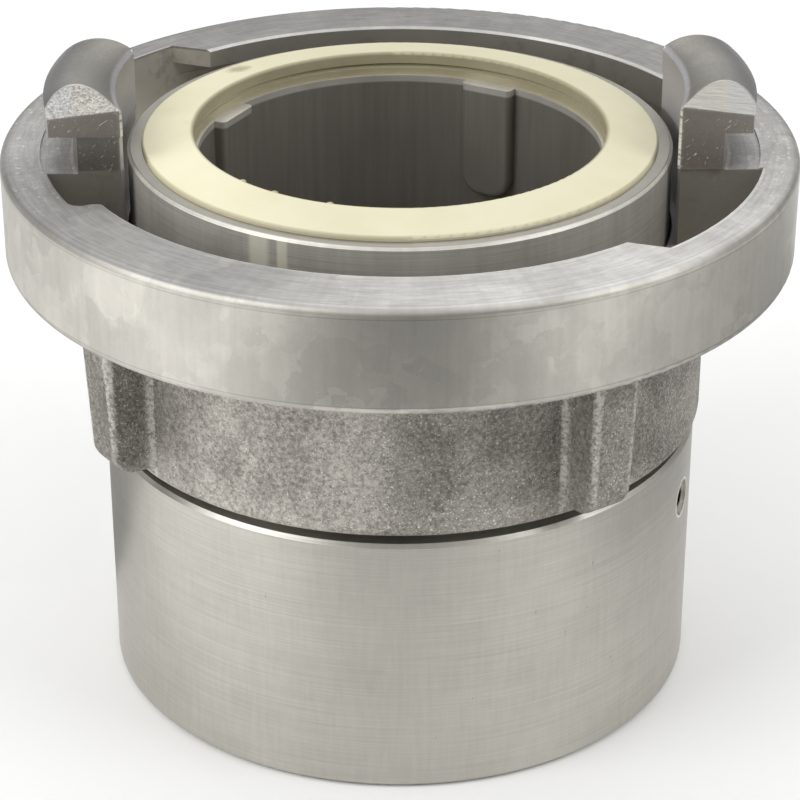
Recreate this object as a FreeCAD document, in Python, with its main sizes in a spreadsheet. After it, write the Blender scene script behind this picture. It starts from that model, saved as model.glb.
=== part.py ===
import FreeCAD, Part
import math
import os
import Sketcher

from FreeCAD import Placement, Rotation, Vector

# Hose coupling with a turning lug ring, 75 mm size, on a socket with a 3 inch female pipe thread.
# Origin on the water axis at the socket's lower face, +Z up to the sealing face, lugs on +X and -X.
# Lengths in mm, angles in degrees.

sizes = {
    # Seal carrier, from the water bore outwards
    "waterwayRadius": 32.1,
    "sealWidth": 8.7,
    "rimWall": 2.26,
    "tailWall": 6.8,
    "journalStep": 0.4,
    "collarHeight": 20.0,
    "rimBevel": 0.5,
    "seatDepth": 2.0,
    "footDepth": 4.5,
    "footWidth": 3.9,
    "toeDepth": 0.9,
    "toeHeight": 2.4,
    "reliefHeight": 2.0,
    "reliefDepth": 1.0,
    "padRise": 2.2,
    "padWidth": 9.0,
    "padHeight": 19.8,
    "padRound": 3.5,
    "padEdgeRound": 0.9,
    "padAzimuth": 60.5,
    # Threaded socket
    "threadStep": 8.465,
    "threadDepth": 24.0,
    "threadLeadIn": 1.6,
    "undercutDepth": 1.6,
    "undercutHeight": 3.2,
    "socketWall": 4.505,
    "socketHeight": 44.4,
    "socketEdge": 0.6,
    "socketFootEdge": 0.8,
    "neckWall": 5.6,
    "neckHeight": 14.5,
    "webThickness": 3.0,
    "webStep": 1.9,
    # Face seal
    "sealInset": 0.46,
    "sealOuterRise": 0.83,
    "sealInnerRise": 1.95,
    "sealRound": 0.5,
    "lipGrooveRise": 1.2,
    "lipGrooveHeight": 0.8,
    "lipGrooveDepth": 1.4,
    # Small parts
    "slideRingThickness": 1.6,
    "slideRingWidth": 3.5,
    "gasketThickness": 2.5,
    "gasketInset": 0.5,
    "oRingGrooveDepth": 2.1,
    "oRingGrooveHeight": 2.8,
    "oRingRise": 1.0,
    "screwRadius": 2.95,
    "screwInset": 0.57,
    "screwSeatDepth": 0.9,
    "screwRise": 7.3,
    "screwAzimuth": -20.2,
    "screwKeyWidth": 3.0,
    "screwKeyDepth": 3.0,
    "screwChamfer": 0.6,
    # Lug ring, outside the carrier
    "flangeReach": 5.9,
    "bandWall": 5.6,
    "bandHeight": 16.7,
    "bandRise": 4.65,
    "bandRound": 1.4,
    "ledgeThickness": 8.75,
    "floorThickness": 3.6,
    "flangeThickness": 5.4,
    "flangeEdge": 0.4,
    "skirtWall": 4.1,
    "skirtGap": 1.6,
    "skirtRound": 1.4,
    "bandFillet": 1.2,
    "ribAzimuth": 33.7,
    "ribWidth": 8.0,
    "ribTopReach": 7.7,
    "ribFootReach": 6.5,
    "ribFootRise": 2.0,
    "ribRound": 4.0,
    "ribEdgeRound": 1.2,
    "ribRootRound": 1.2,
    # Lugs, slots and ramps of the lug ring
    "webWidth": 6.9,
    "lugHalfWidth": 13.5,
    "hookGap": 5.9,
    "hookReach": 4.2,
    "lugHeight": 12.1,
    "lugEdge": 0.6,
    "crestDrop": 2.4,
    "facetRun": 6.0,
    "facetDrop": 2.7,
    "facetTilt": 7.0,
    "tongueHalfWidth": 13.0,
    "tongueReach": 5.2,
    "tongueDrop": 0.25,
    "slotEnd": 48.0,
    "slotEndSlant": 4.5,
    "notchReach": 4.7,
    "notchEnd": 28.5,
    "notchRound": 2.2,
    "rampEntryThickness": 3.0,
    "rampSpan": 60.0,
    # Clearances
    "runningClearance": 0.3,
    "axialPlay": 0.15,
    "collarClearance": 0.44,
    "lugClearance": 1.44,
    "webGap": 0.1,
    "skirtClearance": 0.6,
    "threadClearance": 0.1,
    "sealClearance": 0.05,
    "screwClearance": 0.05,
    "cutOverrun": 1.0,
    "rampOverrun": 10.0,
}

ribCount = 4
lugCount = 2
padCount = 4

doc = FreeCAD.newDocument("Coupling")
sheet = doc.addObject("Spreadsheet::Sheet", "Sizes")
for row, (alias, value) in enumerate(sizes.items(), start=1):
    sheet.set(f"A{row}", alias)
    sheet.set(f"B{row}", str(value))
    sheet.setAlias(f"B{row}", alias)
doc.recompute()


class Size:
    # A length or angle as both its expression on the sheet and its present value.
    def __init__(self, text, value):
        self.text = text
        self.value = value

    def __add__(self, other):
        other = asSize(other)
        return Size(f"({self.text} + {other.text})", self.value + other.value)

    def __sub__(self, other):
        other = asSize(other)
        return Size(f"({self.text} - {other.text})", self.value - other.value)

    def __mul__(self, other):
        other = asSize(other)
        return Size(f"({self.text} * {other.text})", self.value * other.value)

    def __truediv__(self, other):
        other = asSize(other)
        return Size(f"({self.text} / {other.text})", self.value / other.value)

    def __neg__(self):
        return Size(f"(0 - {self.text})", -self.value)


def asSize(number):
    if isinstance(number, Size):
        return number
    return Size(str(number), float(number))


def size(alias):
    return Size(f"Sizes.{alias}", float(sheet.get(alias)))


zero = asSize(0)


def cosine(angle):
    return Size(f"cos({angle.text})", math.cos(math.radians(angle.value)))


def sine(angle):
    return Size(f"sin({angle.text})", math.sin(math.radians(angle.value)))


def side(hypotenuse, other):
    # The third side of a right-angled triangle.
    return Size(
        f"sqrt({hypotenuse.text} ^ 2 - {other.text} ^ 2)",
        math.sqrt(hypotenuse.value ** 2 - other.value ** 2),
    )


def bind(item, name, amount):
    setattr(item, name, amount.value)
    item.setExpression(name, amount.text)


def polar(radius, azimuth):
    return radius * cosine(azimuth), radius * sine(azimuth)


def originPart(body, role):
    return next(part for part in body.Origin.OriginFeatures if part.Role == role)


def newBody(name, azimuth=None):
    body = doc.addObject("PartDesign::Body", name)
    body.Label = name
    if azimuth is None:
        body.Placement = Placement()
    else:
        body.Placement = Placement(Vector(), Rotation(Vector(0, 0, 1), azimuth.value))
        body.setExpression("Placement.Rotation.Angle", azimuth.text)
    return body


def attachedSketch(body, name, role, offset=None, azimuth=None):
    # An upright plane can be turned about Z by an azimuth, and any plane moved along its normal.
    sketch = body.newObject("Sketcher::SketchObject", name)
    sketch.AttachmentSupport = [(originPart(body, role), "")]
    sketch.MapMode = "FlatFace"
    turn = azimuth or zero
    shift = offset or zero
    across, along = shift * sine(turn), shift * cosine(turn)
    base = Vector(across.value, 0, along.value)
    sketch.AttachmentOffset = Placement(base, Rotation(Vector(0, 1, 0), turn.value))
    if azimuth is not None:
        sketch.setExpression("AttachmentOffset.Rotation.Angle", turn.text)
        sketch.setExpression("AttachmentOffset.Base.x", across.text)
    if offset is not None:
        sketch.setExpression("AttachmentOffset.Base.z", along.text)
    return sketch


def circleSketch(body, name, role, rise, radius, offset, azimuth=None):
    sketch = attachedSketch(body, name, role, offset, azimuth)
    sketch.addGeometry(Part.Circle(Vector(0, rise.value, 0), Vector(0, 0, 1), radius.value), False)
    sketch.addConstraint(Sketcher.Constraint("PointOnObject", 0, 3, -2))
    bindConstraint(sketch, Sketcher.Constraint("DistanceY", -1, 1, 0, 3, rise.value), rise)
    bindConstraint(sketch, Sketcher.Constraint("Radius", 0, radius.value), radius)
    return sketch


def newSketch(body, name, role, outline, offset=None, azimuth=None):
    # The outline is a list of (x, y) or (x, y, radius, turn) corners. With a radius, the edge that leaves
    # the corner is an arc of that radius, and turn is 1 where it runs anticlockwise and -1 clockwise.
    sketch = attachedSketch(body, name, role, offset, azimuth)
    corners = [Vector(corner[0].value, corner[1].value, 0) for corner in outline]
    count = len(outline)
    startOf = []
    endOf = []
    for index, corner in enumerate(outline):
        start = corners[index]
        end = corners[(index + 1) % count]
        if len(corner) == 2:
            sketch.addGeometry(Part.LineSegment(start, end), False)
            startOf.append(1)
            endOf.append(2)
        else:
            sketch.addGeometry(arcBetween(start, end, corner[2].value, corner[3]), False)
            anticlockwise = corner[3] > 0
            startOf.append(1 if anticlockwise else 2)
            endOf.append(2 if anticlockwise else 1)
    for index in range(count):
        follower = (index + 1) % count
        sketch.addConstraint(
            Sketcher.Constraint("Coincident", index, endOf[index], follower, startOf[follower])
        )
    for index, corner in enumerate(outline):
        place = (-1, 1, index, startOf[index])
        bindConstraint(sketch, Sketcher.Constraint("DistanceX", *place, corner[0].value), corner[0])
        bindConstraint(sketch, Sketcher.Constraint("DistanceY", *place, corner[1].value), corner[1])
        if len(corner) > 2:
            bindConstraint(sketch, Sketcher.Constraint("Radius", index, corner[2].value), corner[2])
    return sketch


def bindConstraint(sketch, constraint, amount):
    number = sketch.addConstraint(constraint)
    sketch.setExpression(f"Constraints[{number}]", amount.text)


def arcBetween(start, end, radius, turn):
    middle = (start + end) * 0.5
    chord = end - start
    rise = math.sqrt(radius ** 2 - (chord.Length / 2) ** 2)
    normal = Vector(-chord.y, chord.x, 0).normalize()
    centre = middle + normal * (rise * turn)
    first = math.atan2(start.y - centre.y, start.x - centre.x)
    last = math.atan2(end.y - centre.y, end.x - centre.x)
    if turn < 0:
        first, last = last, first
    circle = Part.Circle(centre, Vector(0, 0, 1), radius)
    return Part.ArcOfCircle(circle, first, last)


def revolve(body, name, sketch, cut=False):
    kind = "PartDesign::Groove" if cut else "PartDesign::Revolution"
    feature = body.newObject(kind, name)
    feature.Profile = sketch
    feature.ReferenceAxis = (sketch, ["V_Axis"])
    feature.Angle = 360.0
    return feature


def pad(body, name, sketch, length, symmetric=False):
    feature = body.newObject("PartDesign::Pad", name)
    feature.Profile = sketch
    bind(feature, "Length", length)
    if symmetric:
        feature.SideType = "Symmetric"
    return feature


def pocket(body, name, sketch, length, symmetric=False):
    feature = body.newObject("PartDesign::Pocket", name)
    feature.Profile = sketch
    bind(feature, "Length", length)
    if symmetric:
        feature.SideType = "Symmetric"
    return feature


def polarPattern(body, name, originals, count):
    pattern = body.newObject("PartDesign::PolarPattern", name)
    pattern.Originals = originals
    pattern.Axis = (originPart(body, "Z_Axis"), [""])
    pattern.Angle = 360.0
    pattern.Occurrences = count
    body.Tip = pattern
    return pattern


def fillet(body, name, base, radius, wanted):
    doc.recompute()
    edges = [f"Edge{number}" for number, edge in enumerate(base.Shape.Edges, start=1) if wanted(edge)]
    feature = body.newObject("PartDesign::Fillet", name)
    feature.Base = (base, edges)
    bind(feature, "Radius", radius)
    body.Tip = feature
    return feature


# Heights that the pieces share
neckTop = size("socketHeight") + size("neckHeight")
ledgeBottom = neckTop + size("slideRingThickness")
ledgeTop = ledgeBottom + size("ledgeThickness")
shoulder = ledgeTop + size("axialPlay") + size("slideRingThickness")
rim = shoulder + size("collarHeight")
seat = rim - size("seatDepth")
footBottom = seat - size("footDepth")
webTop = size("threadDepth") + size("webThickness")
screwHeight = webTop + size("screwRise")
bandBottom = ledgeTop + size("bandRise")
flangeTop = bandBottom + size("bandHeight")
flangeUnderside = flangeTop - size("flangeThickness")
grooveFloor = bandBottom + size("floorThickness")
skirtBottom = size("socketHeight") + size("skirtGap")
hookUnderside = flangeTop + size("hookGap")
lugTop = flangeTop + size("lugHeight")

# Radii that the pieces share
seatRadius = size("waterwayRadius") + size("sealWidth")
footRadius = seatRadius - size("footWidth")
collarRadius = seatRadius + size("rimWall")
tailRadius = size("waterwayRadius") + size("tailWall")
tailBore = tailRadius + size("threadClearance")
journalRadius = tailRadius + size("journalStep")
ledgeBore = journalRadius + size("runningClearance")
neckRadius = tailBore + size("neckWall")
cavityRadius = neckRadius + size("skirtClearance")
skirtRadius = cavityRadius + size("skirtWall")
lugInnerRadius = collarRadius + size("lugClearance")
webRadius = lugInnerRadius + size("webWidth")
hookRadius = webRadius + size("hookReach")
flangeRadius = webRadius + size("webGap")
grooveRadius = flangeRadius + size("flangeReach")
bandRadius = grooveRadius + size("bandWall")
webBoreRadius = size("waterwayRadius") + size("webStep")
threadMinorRadius = webBoreRadius + size("threadStep")
undercutRadius = threadMinorRadius + size("undercutDepth")
socketRadius = undercutRadius + size("socketWall")
screwHole = size("screwRadius") + size("screwClearance")
screwSeat = tailRadius - size("screwSeatDepth")


def makeThreadedSocket():
    # Turned aluminium sleeve. Its mouth takes the pipe thread and its neck stands inside the ring's skirt.
    body = newBody("threaded_socket", size("screwAzimuth"))
    edge = size("socketEdge")
    footEdge = size("socketFootEdge")
    leadIn = size("threadLeadIn")
    outline = [
        (threadMinorRadius + leadIn, zero),
        (socketRadius - footEdge, zero),
        (socketRadius, footEdge),
        (socketRadius, size("socketHeight") - edge),
        (socketRadius - edge, size("socketHeight")),
        (neckRadius, size("socketHeight")),
        (neckRadius, neckTop - edge),
        (neckRadius - edge, neckTop),
        (tailBore + edge, neckTop),
        (tailBore, neckTop - edge),
        (tailBore, webTop),
        (webBoreRadius, webTop),
        (webBoreRadius, size("threadDepth")),
        (undercutRadius, size("threadDepth")),
        (undercutRadius, size("threadDepth") - size("undercutHeight")),
        (threadMinorRadius, size("threadDepth") - size("undercutHeight") - size("undercutDepth")),
        (threadMinorRadius, leadIn),
    ]
    revolve(body, "SocketTurned", newSketch(body, "SocketSection", "XZ_Plane", outline))
    # Cross hole of the set screw
    over = size("cutOverrun")
    hole = circleSketch(
        body, "ScrewHoleCircle", "YZ_Plane", screwHeight, screwHole, socketRadius + over
    )
    body.Tip = pocket(body, "ScrewHole", hole, socketRadius - tailBore + over * 2)
    return body


def makeSealCarrier():
    # Turned inner sleeve with the water bore. Its rim holds the seal and its tail screws into the socket.
    body = newBody("seal_carrier", size("padAzimuth"))
    bevel = size("rimBevel")
    tail = tailRadius
    grooveBottom = webTop + size("oRingRise")
    grooveTop = grooveBottom + size("oRingGrooveHeight")
    grooveRadius = tail - size("oRingGrooveDepth")
    relief = tail - size("reliefDepth")
    toe = seatRadius + size("toeDepth")
    outline = [
        (size("waterwayRadius"), webTop),
        (tail - bevel, webTop),
        (tail, webTop + bevel),
        (tail, grooveBottom),
        (grooveRadius, grooveBottom),
        (grooveRadius, grooveTop),
        (tail, grooveTop),
        (tail, neckTop - size("reliefHeight")),
        (relief, neckTop - size("reliefHeight") + size("reliefDepth")),
        (relief, neckTop + bevel),
        (journalRadius, neckTop + bevel),
        (journalRadius, shoulder),
        (collarRadius - bevel, shoulder),
        (collarRadius, shoulder + bevel),
        (collarRadius, rim - bevel),
        (collarRadius - bevel, rim),
        (seatRadius, rim),
        (seatRadius, footBottom + size("toeHeight")),
        (toe, footBottom + size("toeHeight")),
        (toe, footBottom),
        (footRadius, footBottom),
        (footRadius, seat),
        (size("waterwayRadius"), seat),
    ]
    revolve(body, "CarrierTurned", newSketch(body, "CarrierSection", "XZ_Plane", outline))
    # Raised pads in the bore, which take the assembly spanner
    half = size("padWidth") / 2
    corner = size("padRound")
    foot = seat - size("padHeight")
    padOutline = [
        (-half, seat),
        (-half, foot + corner, corner, 1),
        (corner - half, foot),
        (half - corner, foot, corner, 1),
        (half, foot + corner),
        (half, seat),
    ]
    padRadius = size("waterwayRadius") - size("padRise")
    face = newSketch(body, "SpannerPadFace", "YZ_Plane", padOutline, offset=padRadius)
    spannerPad = pad(body, "SpannerPad", face, size("padRise") + size("cutOverrun"))
    pads = polarPattern(body, "SpannerPads", [spannerPad], padCount)
    # Only the pads' faces lie nearer to the axis than half of the pads' rise.
    clear = (size("waterwayRadius") - size("padRise") / 2).value
    tall = (corner * 2).value

    def onPadSide(edge):
        ends = [vertex.Point for vertex in edge.Vertexes]
        inside = all(math.hypot(point.x, point.y) < clear for point in ends)
        return inside and abs(ends[0].z - ends[-1].z) > tall

    fillet(body, "PadEdges", pads, size("padEdgeRound"), onPadSide)
    # Spot in the tail's thread where the set screw bites
    over = size("cutOverrun")
    spot = circleSketch(
        body, "ScrewSeatCircle", "YZ_Plane", screwHeight, screwHole, tailRadius + over,
        size("screwAzimuth") - size("padAzimuth"),
    )
    body.Tip = pocket(body, "ScrewSeat", spot, over + size("screwSeatDepth"))
    return body


def makeFaceSeal():
    # Rubber ring. Its foot is locked in the undercut of the rim, and its face rises towards the bore.
    body = newBody("face_seal")
    gap = size("sealClearance")
    outer = seatRadius - gap
    inner = size("waterwayRadius") + size("sealInset")
    toe = seatRadius + size("toeDepth") - gap
    toeTop = footBottom + size("toeHeight") - gap
    corner = size("sealRound")
    grooveBottom = seat + size("lipGrooveRise")
    grooveTop = grooveBottom + size("lipGrooveHeight")
    outline = [
        (inner, seat),
        (footRadius + gap, seat),
        (footRadius + gap, footBottom),
        (toe, footBottom),
        (toe, toeTop),
        (outer, toeTop),
        (outer, rim + size("sealOuterRise") - corner, corner, 1),
        (outer - corner, rim + size("sealOuterRise")),
        (inner + corner, rim + size("sealInnerRise"), corner, 1),
        (inner, rim + size("sealInnerRise") - corner),
        (inner, grooveTop),
        (inner + size("lipGrooveDepth"), (grooveTop + grooveBottom) / 2),
        (inner, grooveBottom),
    ]
    revolve(body, "SealTurned", newSketch(body, "SealSection", "XZ_Plane", outline))
    return body


def makeWasher(name, inner, outer, bottom, thickness):
    body = newBody(name)
    outline = [
        (inner, bottom),
        (outer, bottom),
        (outer, bottom + thickness),
        (inner, bottom + thickness),
    ]
    revolve(body, name + "Turned", newSketch(body, name + "Section", "XZ_Plane", outline))
    return body


def makeORing():
    # Ring of round section in the tail's groove, drawn as squeezed between groove and bore.
    ring = doc.addObject("Part::Torus", "carrier_o_ring")
    ring.Label = "carrier_o_ring"
    grooveRadius = tailRadius - size("oRingGrooveDepth")
    gap = tailBore - grooveRadius
    bind(ring, "Radius1", grooveRadius + gap / 2)
    bind(ring, "Radius2", gap / 2 - size("sealClearance"))
    ring.Placement = Placement()
    ring.setExpression(
        "Placement.Base.z", (webTop + size("oRingRise") + size("oRingGrooveHeight") / 2).text
    )
    return ring


def makeGrubScrew():
    # Set screw with a hexagon socket, along X from the tail's thread outwards, then turned to its place.
    body = newBody("grub_screw", size("screwAzimuth"))
    radius = size("screwRadius")
    chamfer = size("screwChamfer")
    start = screwSeat
    end = socketRadius - size("screwInset")
    rise = screwHeight
    outline = [
        (start, rise),
        (start, rise + radius - chamfer),
        (start + chamfer, rise + radius),
        (end - chamfer, rise + radius),
        (end, rise + radius - chamfer),
        (end, rise),
    ]
    section = newSketch(body, "ScrewSection", "XZ_Plane", outline)
    turned = body.newObject("PartDesign::Revolution", "ScrewTurned")
    turned.Profile = section
    turned.ReferenceAxis = (section, ["Edge6"])
    turned.Angle = 360.0
    keySide = size("screwKeyWidth") / math.sqrt(3)
    halfKey = size("screwKeyWidth") / 2
    hexagon = [
        (keySide, rise),
        (keySide / 2, rise + halfKey),
        (-(keySide / 2), rise + halfKey),
        (-keySide, rise),
        (-(keySide / 2), rise - halfKey),
        (keySide / 2, rise - halfKey),
    ]
    key = newSketch(body, "ScrewKey", "YZ_Plane", hexagon, offset=end)
    body.Tip = pocket(body, "ScrewKeySocket", key, size("screwKeyDepth"))
    return body


def ringSection():
    # Half section of the casting: skirt, band, flange with its inner groove, and the ledge that it turns on.
    bandRound = size("bandRound")
    skirtRound = size("skirtRound")
    skirt = skirtRadius
    inside = collarRadius + size("collarClearance")
    edge = size("flangeEdge")
    bandFillet = size("bandFillet")
    return [
        (cavityRadius, skirtBottom),
        (skirt - skirtRound, skirtBottom, skirtRound, 1),
        (skirt, skirtBottom + skirtRound),
        (skirt, bandBottom - bandFillet, bandFillet, -1),
        (skirt + bandFillet, bandBottom),
        (bandRadius - bandRound, bandBottom, bandRound, 1),
        (bandRadius, bandBottom + bandRound),
        (bandRadius, flangeTop - bandRound, bandRound, 1),
        (bandRadius - bandRound, flangeTop),
        (flangeRadius + edge, flangeTop),
        (flangeRadius, flangeTop - edge),
        (flangeRadius, flangeUnderside),
        (grooveRadius, flangeUnderside),
        (grooveRadius, grooveFloor),
        (inside, grooveFloor),
        (inside, ledgeTop),
        (ledgeBore, ledgeTop),
        (ledgeBore, ledgeBottom),
        (cavityRadius, ledgeBottom),
    ]


def makeRibs(body):
    # Four cast ribs from the band down the skirt, for the coupling spanner.
    skirt = skirtRadius
    root = skirt - size("skirtWall") / 2
    top = bandBottom + size("floorThickness") / 2
    foot = skirtBottom + size("ribFootRise")
    corner = size("ribRound")
    reach = skirt + size("ribTopReach")
    footReach = skirt + size("ribFootReach")
    outline = [
        (root, foot),
        (footReach - corner, foot, corner, 1),
        (footReach, foot + corner),
        (reach, bandBottom),
        (reach, top),
        (root, top),
    ]
    face = newSketch(body, "RibProfile", "XZ_Plane", outline, azimuth=size("ribAzimuth"))
    rib = pad(body, "Rib", face, size("ribWidth"), symmetric=True)
    ribs = polarPattern(body, "Ribs", [rib], ribCount)
    # Only the long edges of the ribs' outer faces lie beyond this radius and below the band.
    clear = (skirt + size("ribFootReach") - size("ribRound") / 2).value
    limit = bandBottom.value + size("cutOverrun").value / 2

    def onRibFace(edge):
        ends = [vertex.Point for vertex in edge.Vertexes]
        outside = all(math.hypot(point.x, point.y) > clear for point in ends)
        upright = abs(ends[0].z - ends[-1].z) > size("cutOverrun").value
        return outside and upright and max(point.z for point in ends) < limit

    ribs = fillet(body, "RibEdges", ribs, size("ribEdgeRound"), onRibFace)
    # The upright edges between the skirt and the ribs' sides are filleted.
    halfRib = size("ribWidth").value / 2
    ribAzimuth = math.radians(size("ribAzimuth").value)
    quarter = math.radians(360 / ribCount)
    tolerance = size("cutOverrun").value / 10

    def onRibRoot(edge):
        ends = [vertex.Point for vertex in edge.Vertexes]
        if len(ends) < 2 or abs(ends[0].z - ends[1].z) < halfRib:
            return False
        for point in ends:
            radius = math.hypot(point.x, point.y)
            turned = (math.atan2(point.y, point.x) - ribAzimuth + quarter / 2) % quarter - quarter / 2
            across = abs(radius * math.sin(turned))
            if abs(radius - skirt.value) > tolerance or abs(across - halfRib) > tolerance:
                return False
        return True

    fillet(body, "RibRoots", ribs, size("ribRootRound"), onRibRoot)


def sectorOutline(inner, outer, halfWidth):
    # Curved bar between two radii, with parallel ends.
    return [
        (side(inner, halfWidth), -halfWidth),
        (side(outer, halfWidth), -halfWidth, outer, 1),
        (side(outer, halfWidth), halfWidth),
        (side(inner, halfWidth), halfWidth, inner, -1),
    ]


def makeLugs(body):
    # Each lug is an upright web on the groove's floor with a hook at its top that points outwards.
    halfWidth = size("lugHalfWidth")
    edge = size("lugEdge")
    webOutline = [
        (side(lugInnerRadius, halfWidth - edge), edge - halfWidth),
        (side(lugInnerRadius, halfWidth) + edge, -halfWidth),
        (side(webRadius, halfWidth), -halfWidth, webRadius, 1),
        (side(webRadius, halfWidth), halfWidth),
        (side(lugInnerRadius, halfWidth) + edge, halfWidth),
        (side(lugInnerRadius, halfWidth - edge), halfWidth - edge, lugInnerRadius, -1),
    ]
    webFace = newSketch(body, "LugWebOutline", "XY_Plane", webOutline, offset=grooveFloor)
    web = pad(body, "LugWeb", webFace, lugTop - grooveFloor)
    middle = lugInnerRadius + size("webWidth") / 2
    hookOutline = sectorOutline(middle, hookRadius, halfWidth)
    hookFace = newSketch(body, "LugHookOutline", "XY_Plane", hookOutline, offset=hookUnderside)
    hook = pad(body, "LugHook", hookFace, lugTop - hookUnderside)
    # Block under the tongue that ties the web to the band
    rootWidth = size("tongueHalfWidth")
    rootOutline = [
        (middle, -rootWidth),
        (grooveRadius, -rootWidth),
        (grooveRadius, rootWidth),
        (middle, rootWidth),
    ]
    rootFace = newSketch(body, "LugRootOutline", "XY_Plane", rootOutline, offset=grooveFloor)
    root = pad(body, "LugRoot", rootFace, flangeTop - size("tongueDrop") - grooveFloor)
    polarPattern(body, "Lugs", [web, hook, root], lugCount)
    # Rounded crest, turned over both lugs
    halfCrest = (hookRadius - lugInnerRadius) / 2
    drop = size("crestDrop")
    dome = (halfCrest * halfCrest + drop * drop) / (drop * 2)
    over = size("cutOverrun") / 2
    inner = lugInnerRadius - over
    outer = hookRadius + over
    edgeHeight = lugTop - dome + side(dome, halfCrest + over)
    outline = [
        (inner, edgeHeight, dome, -1),
        (outer, edgeHeight),
        (outer, lugTop + over),
        (inner, lugTop + over),
    ]
    revolve(body, "LugCrest", newSketch(body, "CrestSection", "XZ_Plane", outline), cut=True)


def makeLugFacet(body, name, end):
    # Flat facet at one end of a lug's crest. It slopes down to the end and leans outwards.
    run = size("facetRun")
    drop = size("facetDrop")
    over = size("cutOverrun")
    reach = size("lugHalfWidth") + over
    outline = [
        (size("lugHalfWidth") - run * 2, drop),
        (reach, -(drop * (run + over) / run)),
        (reach, drop),
    ]
    if end < 0:
        outline = [(-across, rise) for across, rise in reversed(outline)]
    face = newSketch(body, name + "Profile", "YZ_Plane", outline)
    middle = (lugInnerRadius + hookRadius) / 2
    face.AttachmentOffset = Placement(
        Vector(0, lugTop.value, middle.value), Rotation(Vector(1, 0, 0), size("facetTilt").value)
    )
    face.setExpression("AttachmentOffset.Base.y", lugTop.text)
    face.setExpression("AttachmentOffset.Base.z", middle.text)
    face.setExpression("AttachmentOffset.Rotation.Angle", size("facetTilt").text)
    return pocket(body, name, face, (hookRadius - lugInnerRadius) * 2, symmetric=True)


def makeLugStep(body, name, end, top):
    # Below this height the cutter that opened the flange has also trimmed the end of the lug's web.
    near = size("tongueHalfWidth")
    far = size("lugHalfWidth") + size("cutOverrun")
    edge = size("lugEdge")
    outline = [
        (side(lugInnerRadius, near - edge), near - edge),
        (side(lugInnerRadius, near) + edge, near),
        (side(flangeRadius, near), near),
        (side(flangeRadius, near), far),
        (side(lugInnerRadius - size("cutOverrun"), far), far),
    ]
    if end < 0:
        outline = [(along, -across) for along, across in reversed(outline)]
    face = newSketch(body, name + "Outline", "XY_Plane", outline, offset=top)
    return pocket(body, name, face, top - grooveFloor)


def makeTongue(body):
    # Shallow milled patch on the flange behind the lug.
    outer = flangeRadius + size("tongueReach")
    halfWidth = size("tongueHalfWidth")
    outline = sectorOutline(webRadius, outer, halfWidth)
    face = newSketch(body, "TongueOutline", "XY_Plane", outline, offset=flangeTop)
    return pocket(body, "TonguePatch", face, size("tongueDrop"))


def makeSlot(body):
    # Opening in the flange beside each lug, where the other coupling's hook goes in.
    inner = flangeRadius - size("cutOverrun")
    outer = grooveRadius
    width = size("tongueHalfWidth")
    outerEnd = polar(outer, -size("slotEnd"))
    innerEnd = polar(inner, -(size("slotEnd") + size("slotEndSlant")))
    outline = [
        (side(inner, width), -width, inner, -1),
        innerEnd,
        (outerEnd[0], outerEnd[1], outer, 1),
        (side(outer, width), -width),
    ]
    face = newSketch(body, "HookSlotOutline", "XY_Plane", outline, offset=flangeTop)
    return pocket(body, "HookSlot", face, flangeTop - grooveFloor)


def makeNotch(body):
    # Shorter opening on the lug's other side, where the joined hook comes to its stop.
    inner = flangeRadius - size("cutOverrun")
    outer = flangeRadius + size("notchReach")
    width = size("tongueHalfWidth")
    outerEnd = polar(outer, size("notchEnd"))
    innerEnd = polar(inner, size("notchEnd"))
    outline = [
        (side(inner, width), width),
        (side(outer, width), width, outer, 1),
        outerEnd,
        (innerEnd[0], innerEnd[1], inner, -1),
    ]
    face = newSketch(body, "StopNotchOutline", "XY_Plane", outline, offset=flangeTop)
    return pocket(body, "StopNotch", face, size("flangeThickness") + size("cutOverrun"))


def makeRamp(body):
    # Helical ramp under the flange: it draws the two couplings together as the ring is turned.
    rise = size("flangeThickness") - size("rampEntryThickness")
    overrun = size("rampOverrun")
    start = size("slotEnd") + size("rampSpan") + overrun
    pitch = rise * 360 / size("rampSpan")
    top = flangeUnderside - rise * overrun / size("rampSpan")
    inner = flangeRadius - size("cutOverrun")
    outer = grooveRadius + size("sealClearance") * 2
    bottom = top - rise
    outline = [(inner, bottom), (outer, bottom), (outer, top), (inner, top)]
    face = newSketch(body, "RampSection", "XZ_Plane", outline, azimuth=-start)
    ramp = body.newObject("PartDesign::SubtractiveHelix", "Ramp")
    ramp.Profile = face
    ramp.ReferenceAxis = (face, ["V_Axis"])
    ramp.Mode = "pitch-height-angle"
    bind(ramp, "Pitch", pitch)
    bind(ramp, "Height", pitch * (size("rampSpan") + overrun + size("cutOverrun")) / 360)
    return ramp


def makeLugRing():
    body = newBody("lug_ring")
    section = newSketch(body, "RingSection", "XZ_Plane", ringSection())
    revolve(body, "RingTurned", section)
    makeRibs(body)
    makeLugs(body)
    cuts = [
        makeLugFacet(body, "SlotSideFacet", -1),
        makeLugFacet(body, "NotchSideFacet", 1),
        makeLugStep(body, "SlotSideStep", -1, flangeTop),
        makeLugStep(body, "NotchSideStep", 1, hookUnderside),
        makeTongue(body),
        makeSlot(body),
        makeNotch(body),
        makeRamp(body),
    ]
    pattern = polarPattern(body, "LugCuts", cuts, lugCount)
    roundNotch(body, pattern)
    return body


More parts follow.
